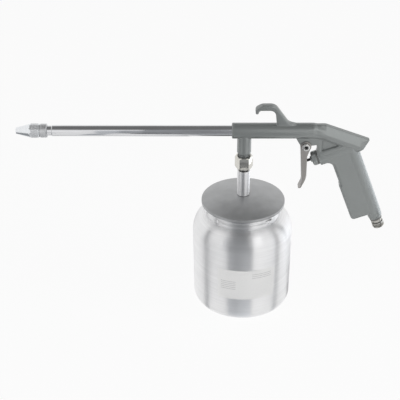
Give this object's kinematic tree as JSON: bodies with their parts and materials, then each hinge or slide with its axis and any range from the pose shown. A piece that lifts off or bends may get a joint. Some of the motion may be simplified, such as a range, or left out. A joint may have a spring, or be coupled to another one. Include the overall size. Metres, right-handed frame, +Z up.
{
  "type": "siphon washing gun",
  "caption": "Air-powered siphon washing gun: pistol grip casting with trigger valve and hook, long chromed lance with adjustable nozzle, and a bayonet suction cup.",
  "frame": {"origin": "centre of the cup's flat base", "axes": "+Z up out of the cup along the riser, -X along the lance towards the nozzle, +X towards the grip, -Y towards the side with the trigger screw's head"},
  "size_m": [0.4005, 0.1104, 0.2448],
  "materials": {
    "casting_grey": "satin",
    "lid_grey": "satin",
    "spun_aluminium": "satin",
    "bright_aluminium": "polished",
    "chrome": "polished",
    "nickel": "polished",
    "brass": "satin",
    "pressed_steel": "satin",
    "zinc_steel": "satin",
    "black_steel": "satin",
    "rubber": "matte",
    "fibre": "matte",
    "dip_plastic": "satin",
    "ptfe": "satin"
  },
  "bodies": {
    "gun": {"gun_body": "casting_grey", "lance_tube": "chrome", "air_line": "brass", "air_line_bush": "brass", "air_jet": "brass", "line_spacer": "ptfe", "valve_bush": "pressed_steel", "bush_seal": "rubber", "stem_packing": "ptfe", "stem_gland": "black_steel", "valve_seat": "brass", "valve_spring": "zinc_steel", "trigger_screw": "zinc_steel", "trigger_nut": "zinc_steel", "air_inlet": "zinc_steel", "inlet_seal": "fibre", "union_seal": "fibre", "riser": "bright_aluminium", "riser_washer": "fibre", "riser_locknut": "zinc_steel", "dip_tube": "dip_plastic", "cup_lid": "lid_grey", "lid_gasket": "rubber", "bayonet_pin_1": "zinc_steel", "bayonet_pin_2": "zinc_steel", "bayonet_pin_3": "zinc_steel"},
    "trigger": {"trigger": "pressed_steel"},
    "valve": {"valve_stem": "black_steel", "poppet_seal": "rubber"},
    "lock_ring": {"lock_ring": "chrome"},
    "nozzle": {"nozzle": "chrome"},
    "union_nut": {"union_nut": "nickel"},
    "cup": {"cup": "spun_aluminium"}
  },
  "joints": [
    {"name": "trigger_pull", "type": "hinge", "parent": "gun", "child": "trigger", "pos_m": [0.0658, 0, 0.1975], "axis": [0, -1, 0], "range_deg": [0, 11]},
    {"name": "valve_push", "type": "slide", "parent": "gun", "child": "valve", "axis": [0.9373, 0, 0.3486], "range_m": [0, 0.00434], "stiffness_N_per_m": 60, "springref_m": -0.005, "deforming": ["valve_spring"]},
    {"name": "lock_ring_turn", "type": "hinge", "parent": "gun", "child": "lock_ring", "pos_m": [-0.2142, 0, 0.2135], "axis": [-1, 0, 0], "continuous": true},
    {"name": "nozzle_turn", "type": "hinge", "parent": "gun", "child": "nozzle", "pos_m": [-0.231, 0, 0.2135], "axis": [-1, 0, 0], "continuous": true},
    {"name": "union_nut_turn", "type": "hinge", "parent": "gun", "child": "union_nut", "pos_m": [0, 0, 0.1755], "axis": [0, 0, 1], "continuous": true},
    {"name": "cup_twist", "type": "hinge", "parent": "gun", "child": "cup", "pos_m": [0, 0, 0.1164], "axis": [0, 0, 1], "range_deg": [-76, 0]}
  ],
  "couplings": [
    {"joint": "trigger_pull", "follows": "valve_push", "rad_per_m": 44}
  ]
}
